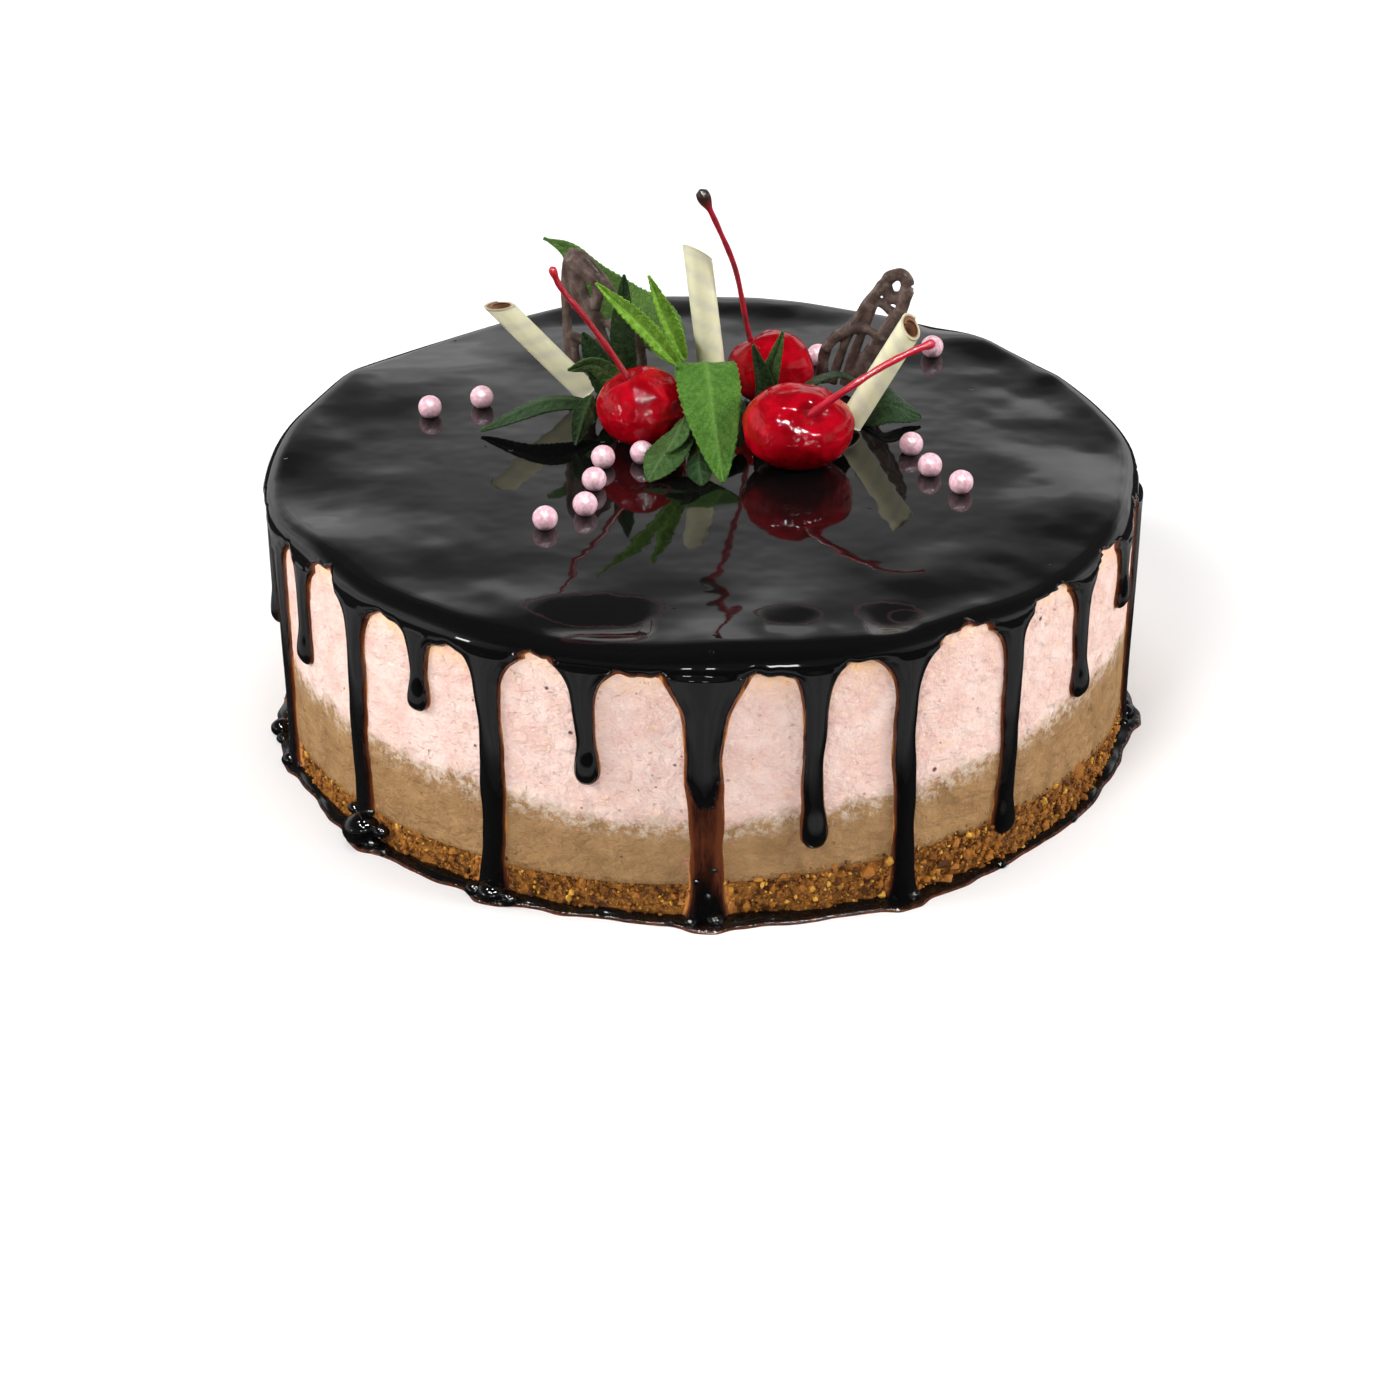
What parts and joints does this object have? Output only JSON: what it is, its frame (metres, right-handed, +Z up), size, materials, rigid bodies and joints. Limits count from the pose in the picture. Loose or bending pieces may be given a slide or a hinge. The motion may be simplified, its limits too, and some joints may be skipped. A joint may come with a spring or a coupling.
{
  "type": "berry mousse cake",
  "caption": "Round layered mousse cake: crumb base, chocolate and berry mousse, dark mirror glaze dripping down its side, topped with cherries, curls, lattices, mint and sugar pearls.",
  "frame": {"origin": "middle of the cake's foot, on the surface that it stands on", "axes": "+Z up, -Y the front of the decoration, +X to the right of someone who faces that front"},
  "size_m": [0.2062, 0.2081, 0.1195],
  "materials": {
    "crumb": "baked crumb, rough and a little moist",
    "chocolate_mousse": "soft mousse, satin, with fine pits",
    "berry_mousse": "soft mousse, satin, with fine pits and berry specks",
    "glaze": "mirror gloss, amber where it is thin",
    "cherry": "wet and wrinkled, clear gloss",
    "white_chocolate": "satin, streaked",
    "dark_chocolate": "satin",
    "mint": "fresh leaf with veins",
    "sugar_pearl": "pearly"
  },
  "bodies": {
    "root": {"crumb_base": "crumb", "chocolate_mousse": "chocolate_mousse", "berry_mousse": "berry_mousse", "chocolate_glaze": "glaze", "cherry_front": "cherry", "cherry_left": "cherry", "cherry_back": "cherry", "white_curl_left": "white_chocolate", "white_curl_middle": "white_chocolate", "white_curl_right": "white_chocolate", "dark_lattice_left": "dark_chocolate", "dark_lattice_right": "dark_chocolate", "mint_leaf_front": "mint", "mint_leaf_front_left": "mint", "mint_leaf_front_small": "mint", "mint_leaf_front_under": "mint", "mint_leaf_left": "mint", "mint_leaf_left_drop": "mint", "mint_leaf_right": "mint", "mint_leaf_right_back": "mint", "mint_bud_left": "mint", "mint_bud_right": "mint", "mint_leaf_back_tall": "mint", "mint_leaf_bright_left": "mint", "mint_leaf_bright_middle": "mint", "mint_leaf_dark_upright": "mint", "mint_leaf_dark_left": "mint", "mint_leaf_dark_low": "mint", "mint_leaf_front_right": "mint", "mint_stem": "mint", "sugar_pearl_01": "sugar_pearl", "sugar_pearl_02": "sugar_pearl", "sugar_pearl_03": "sugar_pearl", "sugar_pearl_04": "sugar_pearl", "sugar_pearl_05": "sugar_pearl", "sugar_pearl_06": "sugar_pearl", "sugar_pearl_07": "sugar_pearl", "sugar_pearl_08": "sugar_pearl", "sugar_pearl_09": "sugar_pearl", "sugar_pearl_10": "sugar_pearl", "sugar_pearl_11": "sugar_pearl", "sugar_pearl_12": "sugar_pearl"}
  },
  "joints": []
}
